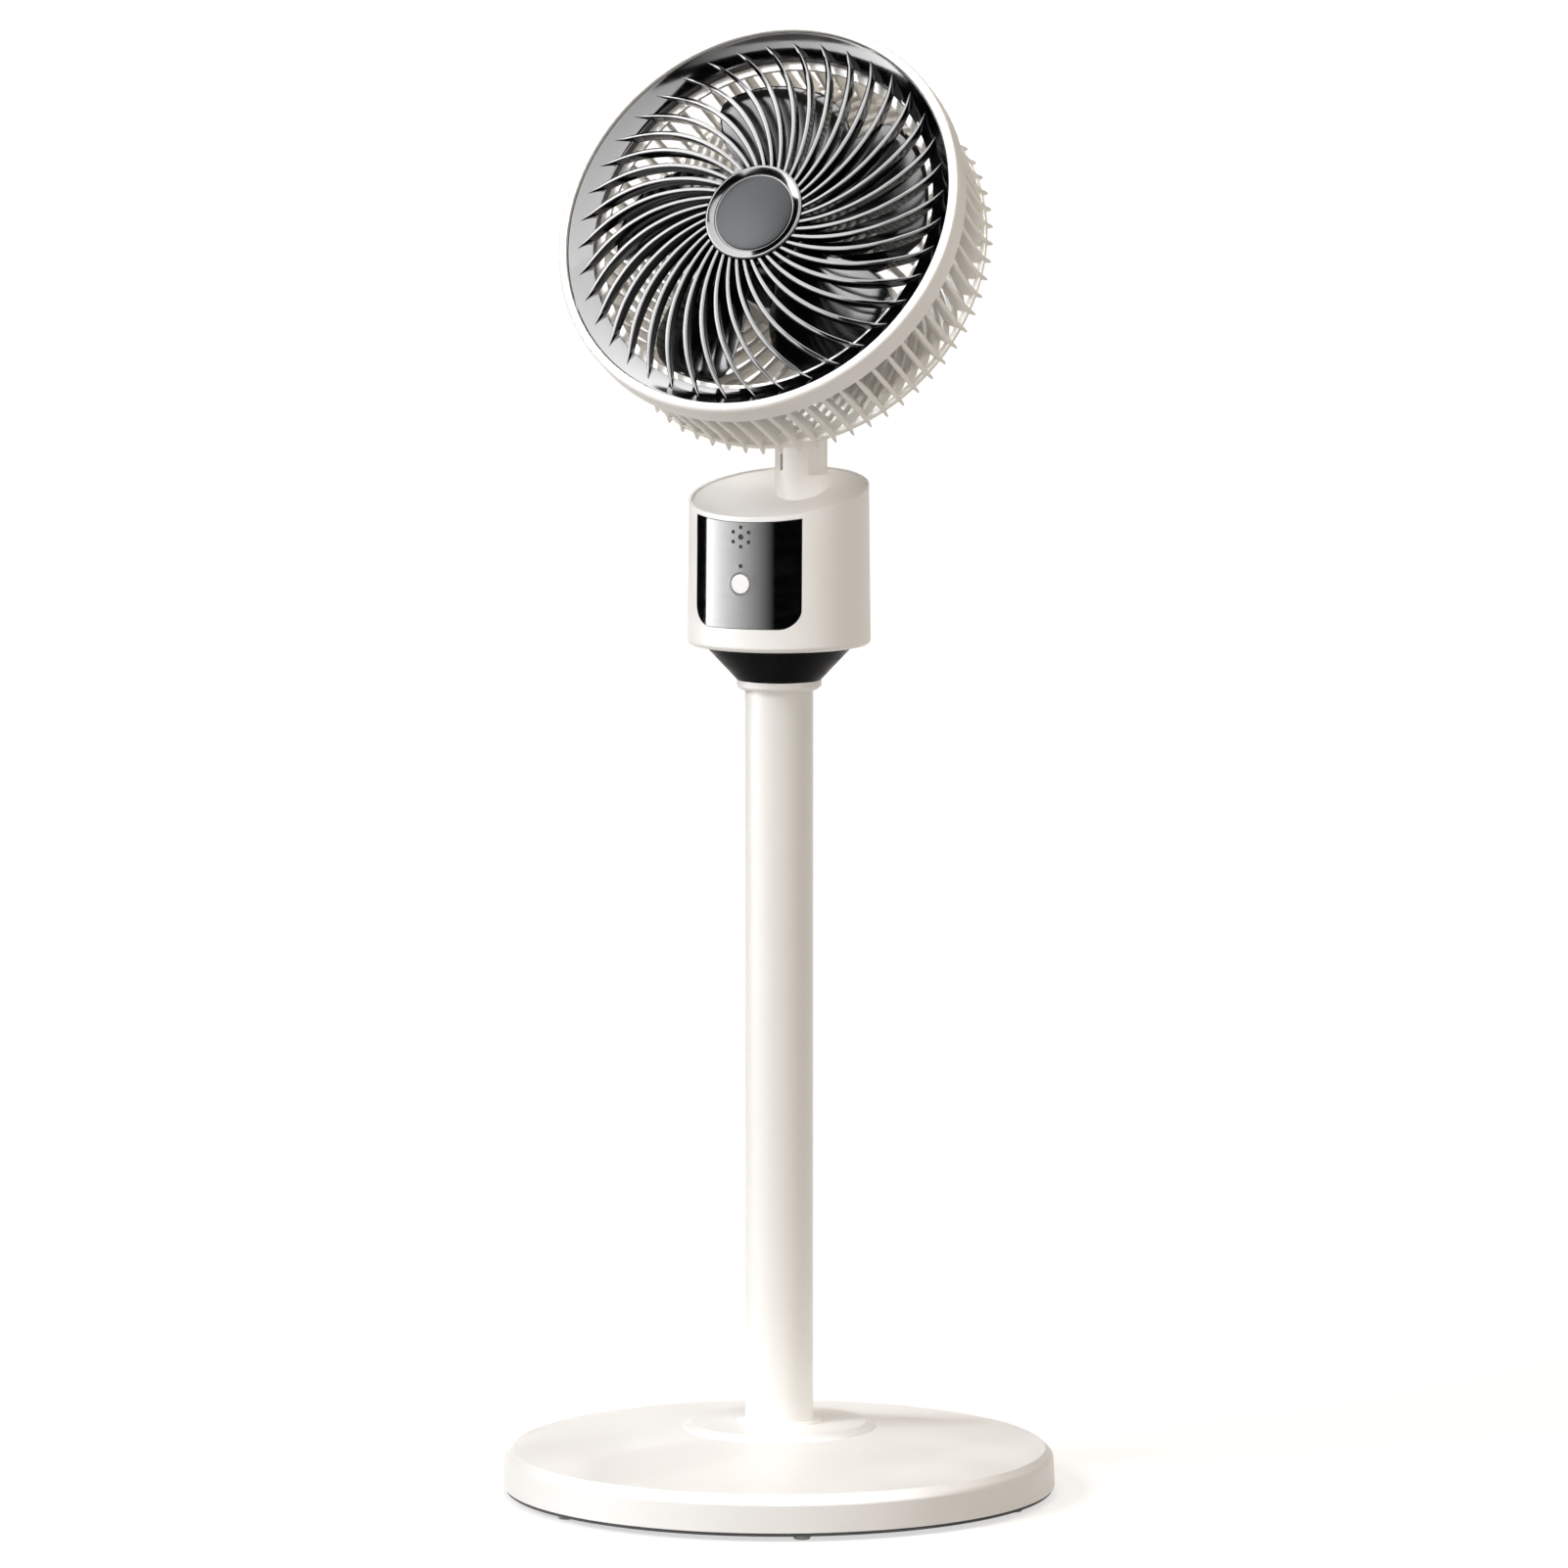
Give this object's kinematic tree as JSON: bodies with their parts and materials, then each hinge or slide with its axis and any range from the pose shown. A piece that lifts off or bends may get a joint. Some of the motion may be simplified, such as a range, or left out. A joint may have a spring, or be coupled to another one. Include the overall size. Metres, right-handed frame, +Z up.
{
  "type": "rechargeable pedestal fan",
  "caption": "Pedestal fan with a weighted round base, plain pole, swivelling control box and a tilting head with a swept front grille and ribbed rear cage.",
  "frame": {"origin": "floor level at the middle of the base", "axes": "+Z up along the pole; the grille and the control panel face -Y"},
  "size_m": [0.32, 0.32, 0.8508],
  "materials": {
    "white_abs": "moulded, satin",
    "cage_white": "moulded, satin",
    "white_steel": "powder coat",
    "black_gloss": "high gloss",
    "black_matte": "fine texture",
    "badge_satin": "satin, dark",
    "lens_smoke": "smoked",
    "button_white": "satin",
    "foot_pale": "soft",
    "cast_iron": "as cast",
    "steel": "zinc plated",
    "nylon": "natural nylon",
    "copper": "enamelled wire",
    "board_green": "solder mask",
    "cell_blue": "shrink sleeve",
    "wire_black": "pvc"
  },
  "bodies": {
    "stand": {"base_cover": "white_abs", "base_weight": "cast_iron", "base_bottom_plate": "black_matte", "base_feet": "foot_pale", "base_screws": "steel", "pole_flange": "white_abs", "pole_tube": "white_steel", "pole_plug": "steel", "pole_washer": "steel", "pole_bolt": "steel", "pole_collar": "white_abs", "swivel_cone": "black_gloss", "swivel_spindle": "steel", "thrust_washer": "nylon", "swivel_gear": "nylon", "spindle_nut": "steel"},
    "control_box": {"box_shell": "white_abs", "box_floor": "black_matte", "floor_screws": "steel", "top_deck": "white_abs", "control_panel": "black_gloss", "speed_lenses": "lens_smoke", "status_lens": "lens_smoke", "button_bezel": "black_gloss", "push_switch": "black_matte", "circuit_board": "board_green", "indicator_lights": "nylon", "board_carrier": "black_matte", "battery_cells": "cell_blue", "battery_holder": "black_matte", "swing_motor": "steel", "swing_motor_screws": "steel", "charging_socket": "steel", "neck_post": "white_abs", "neck_screws": "steel", "neck_wire": "wire_black", "tilt_bolt": "steel", "tilt_nut": "steel", "tilt_washers": "nylon"},
    "pinion": {"swing_pinion": "nylon"},
    "button": {"power_button": "button_white", "switch_plunger": "black_matte"},
    "head": {"tilt_bracket": "white_abs", "bracket_screws": "steel", "motor_housing": "white_abs", "motor_cover": "black_matte", "motor_bearings": "steel", "motor_stator": "cast_iron", "stator_coils": "copper", "front_ring": "white_abs", "front_grille": "black_gloss", "grille_badge": "badge_satin", "rear_cage": "cage_white", "cage_screws": "steel"},
    "rotor": {"motor_shaft": "steel", "rotor_can": "steel", "rotor_magnet": "cast_iron", "fan_blades": "black_gloss", "blade_nut": "black_gloss"}
  },
  "joints": [
    {"name": "pan", "type": "hinge", "parent": "stand", "child": "control_box", "pos_m": [0, 0, 0.5], "axis": [0, 0, 1], "range_deg": [-45, 45]},
    {"name": "pinion_spin", "type": "hinge", "parent": "control_box", "child": "pinion", "pos_m": [0.022, 0, 0.506], "axis": [0, 0, 1], "range_deg": [-120.5, 120.5]},
    {"name": "button_press", "type": "slide", "parent": "control_box", "child": "button", "axis": [0, 1, 0], "range_m": [0, 0.0008], "stiffness_N_per_m": 1500, "springref_m": -0.0006},
    {"name": "tilt", "type": "hinge", "parent": "control_box", "child": "head", "pos_m": [0, 0.0326, 0.6514], "axis": [-1, 0, 0], "range_deg": [-25, 60]},
    {"name": "blade_spin", "type": "hinge", "parent": "head", "child": "rotor", "pos_m": [0, -0.02989, 0.744], "axis": [0, -0.8712, 0.4909], "continuous": true}
  ],
  "couplings": [
    {"joint": "pinion_spin", "follows": "pan", "ratio": 2.6667}
  ]
}
